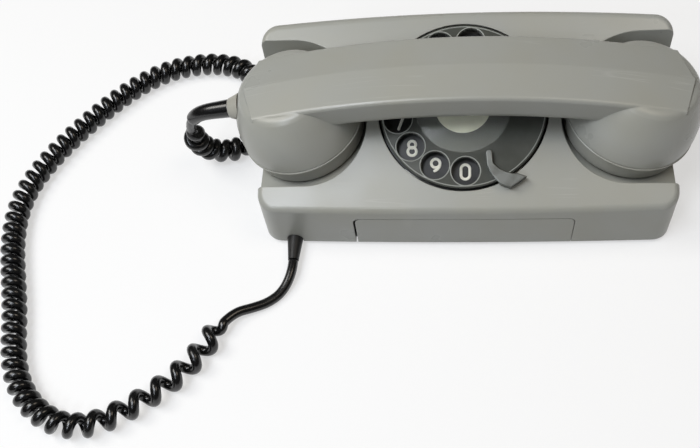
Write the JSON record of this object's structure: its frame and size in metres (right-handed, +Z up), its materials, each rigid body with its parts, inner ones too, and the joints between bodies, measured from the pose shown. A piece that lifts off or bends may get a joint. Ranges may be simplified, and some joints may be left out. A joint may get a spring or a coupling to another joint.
{
  "type": "rotary telephone",
  "caption": "Low desk telephone with a sloping rotary dial, a handset lying across its seats and a curled handset cord; the dial turns and the handset lifts off its hook switch.",
  "frame": {"origin": "on the desk under the middle of the base", "axes": "+X to the right as its user sees it, along the handset; -Y towards the user; +Z up"},
  "size_m": [0.3541, 0.2288, 0.0855],
  "materials": {
    "shell_plastic": "satin moulded plastic with light scuffs",
    "cap_plastic": "satin moulded plastic",
    "dial_black": "dark moulded plastic",
    "clear_plastic": "clear polished plastic",
    "card": "cream card",
    "steel": "bright steel",
    "plate_steel": "dark painted plate",
    "brass": "turned brass",
    "inner_plastic": "dark moulded insulator",
    "coil_tape": "wound coil under tape",
    "can": "drawn can",
    "rubber": "black rubber",
    "cord": "glossy black sheath"
  },
  "bodies": {
    "base": {"housing": "shell_plastic", "access_panel": "shell_plastic", "number_plate": "dial_black", "base_plate": "plate_steel", "rubber_feet": "rubber", "base_screws": "steel", "base_grommet": "rubber", "dial_frame": "steel", "dial_screws": "steel", "mainspring": "steel", "impulse_contacts": "inner_plastic", "governor_drum": "brass", "finger_stop": "steel", "hook_brackets": "steel", "hook_contacts": "inner_plastic", "hook_spring": "steel", "network_block": "inner_plastic", "terminal_screws": "brass", "capacitor": "can", "gong": "brass", "gong_post": "steel", "ringer_coil": "coil_tape", "ringer_core": "steel", "ringer_frame": "steel", "handset_cord_tail": "cord", "curly_cord": "cord", "base_cord_tail": "cord"},
    "dial_wheel": {"finger_wheel": "clear_plastic", "number_card": "card", "card_retainer": "clear_plastic", "dial_shaft": "steel", "main_gear": "brass", "impulse_cam": "inner_plastic"},
    "governor": {"governor_pinion": "brass", "governor_weights": "brass"},
    "handset": {"handset_shell": "shell_plastic", "earpiece_cap": "cap_plastic", "mouthpiece_cap": "cap_plastic", "receiver_capsule": "can", "transmitter_capsule": "can", "transmitter_holder": "inner_plastic", "handset_ferrule": "shell_plastic", "handset_strain_relief": "rubber"},
    "plungers": {"hook_plungers": "dial_black"},
    "bail": {"hook_bail": "steel"},
    "clapper_arm": {"clapper": "brass"}
  },
  "joints": [
    {"name": "dial_spin", "type": "hinge", "parent": "base", "child": "dial_wheel", "pos_m": [0, 0.00164, 0.05196], "axis": [0, 0.3987, -0.9171], "range_deg": [0, 324], "stiffness_Nm_per_rad": 0.004, "springref_deg": -171.89},
    {"name": "governor_spin", "type": "hinge", "parent": "base", "child": "governor", "pos_m": [0.015, -0.02218, 0.0416], "axis": [0, 0.3987, -0.9171], "range_deg": [-1296, 0]},
    {"name": "handset_lift", "type": "slide", "parent": "base", "child": "handset", "axis": [0, 0, 1], "range_m": [0, 0.12]},
    {"name": "plunger_rise", "type": "slide", "parent": "base", "child": "plungers", "axis": [0, 0, 1], "range_m": [0, 0.005]},
    {"name": "bail_turn", "type": "hinge", "parent": "base", "child": "bail", "pos_m": [0, -0.03, 0.014], "axis": [1, 0, 0], "range_deg": [0, 8.6]},
    {"name": "clapper_swing", "type": "hinge", "parent": "base", "child": "clapper_arm", "pos_m": [0.06, -0.0005, 0.0143], "axis": [0, 0, 1], "range_deg": [-2.2, 2.2], "stiffness_Nm_per_rad": 0.005}
  ],
  "couplings": [
    {"joint": "governor_spin", "follows": "dial_spin", "ratio": -4},
    {"joint": "plunger_rise", "follows": "handset_lift", "ratio": 0.0416},
    {"joint": "bail_turn", "follows": "handset_lift", "rad_per_m": 1.25}
  ]
}
